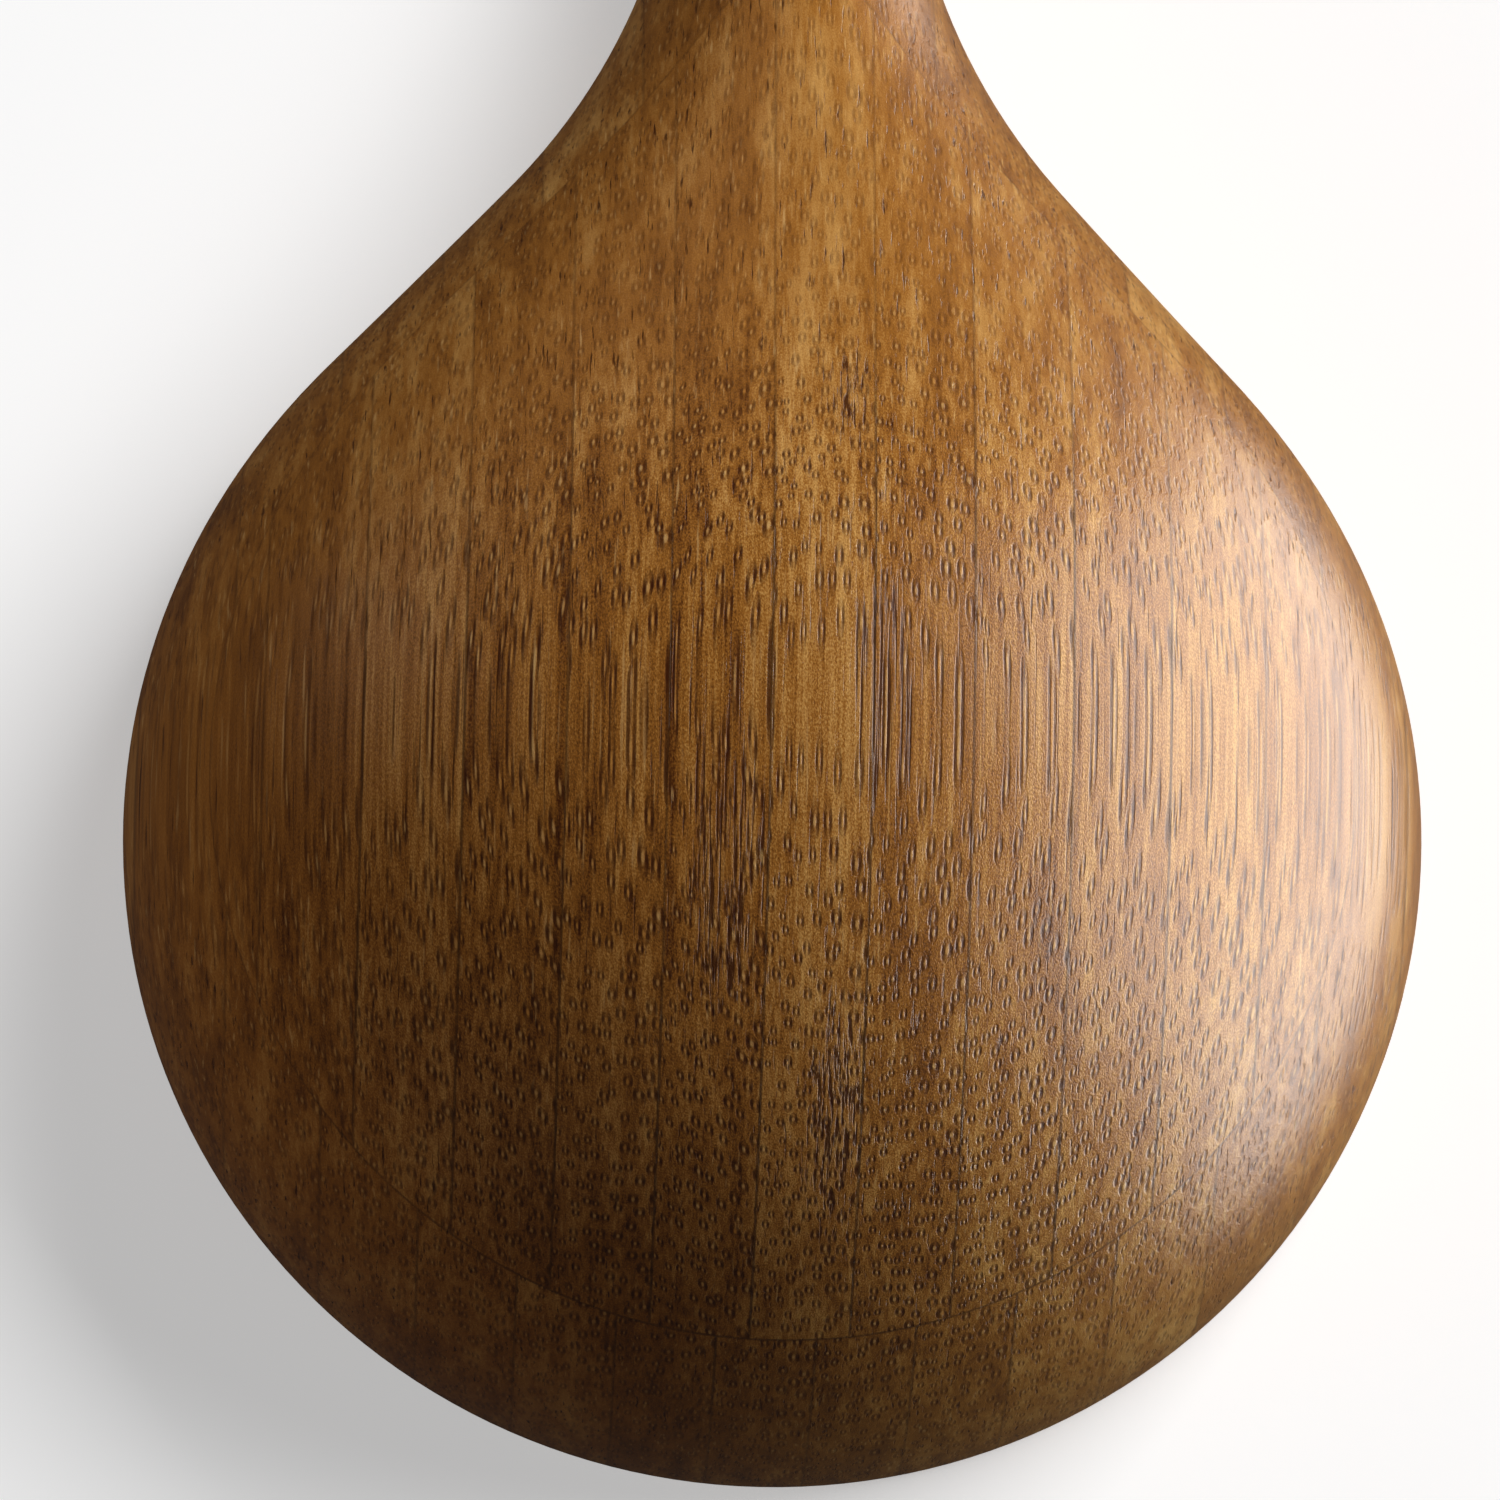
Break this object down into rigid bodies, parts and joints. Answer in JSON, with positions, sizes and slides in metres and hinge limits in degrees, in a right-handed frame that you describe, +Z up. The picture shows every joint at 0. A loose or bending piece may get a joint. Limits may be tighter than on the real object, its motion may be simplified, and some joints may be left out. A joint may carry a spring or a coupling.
{
  "type": "water dipper",
  "caption": "Long-handled water dipper with a round deep bowl, carved from two boards of glued bamboo strips, for scooping and pouring water.",
  "frame": {"origin": "halfway along the dipper, on the flat face of the handle's middle strip, in the plane in which the rim and the handle's flat face lie when the dipper is mouth down", "axes": "+Z up, from the mouth to the back of the bowl; +Y along the handle, from the bowl to the handle's end; X across the strips"},
  "size_m": [0.07, 0.39, 0.0372],
  "materials": {
    "belly_bamboo": "fine sanded and oiled, satin",
    "rim_bamboo": "fine sanded and oiled, satin"
  },
  "bodies": {
    "root": {"belly_strip_left_1": "belly_bamboo", "belly_strip_left_2": "belly_bamboo", "belly_strip_left_3": "belly_bamboo", "belly_strip_left_4": "belly_bamboo", "belly_strip_left_5": "belly_bamboo", "belly_strip_left_6": "belly_bamboo", "belly_strip_middle": "belly_bamboo", "belly_strip_right_1": "belly_bamboo", "belly_strip_right_2": "belly_bamboo", "belly_strip_right_3": "belly_bamboo", "belly_strip_right_4": "belly_bamboo", "belly_strip_right_5": "belly_bamboo", "rim_strip_left_1_handle": "rim_bamboo", "rim_strip_left_1_tip": "rim_bamboo", "rim_strip_left_2_shoulder": "rim_bamboo", "rim_strip_left_2_tip": "rim_bamboo", "rim_strip_left_3_shoulder": "rim_bamboo", "rim_strip_left_3_tip": "rim_bamboo", "rim_strip_left_4_shoulder": "rim_bamboo", "rim_strip_left_4_tip": "rim_bamboo", "rim_strip_left_5": "rim_bamboo", "rim_strip_left_6": "rim_bamboo", "rim_strip_left_7": "rim_bamboo", "rim_strip_middle_handle": "rim_bamboo", "rim_strip_middle_tip": "rim_bamboo", "rim_strip_right_1_handle": "rim_bamboo", "rim_strip_right_1_tip": "rim_bamboo", "rim_strip_right_2_shoulder": "rim_bamboo", "rim_strip_right_2_tip": "rim_bamboo", "rim_strip_right_3_shoulder": "rim_bamboo", "rim_strip_right_3_tip": "rim_bamboo", "rim_strip_right_4_shoulder": "rim_bamboo", "rim_strip_right_4_tip": "rim_bamboo", "rim_strip_right_5": "rim_bamboo", "rim_strip_right_6": "rim_bamboo", "rim_strip_right_7": "rim_bamboo"}
  },
  "joints": []
}
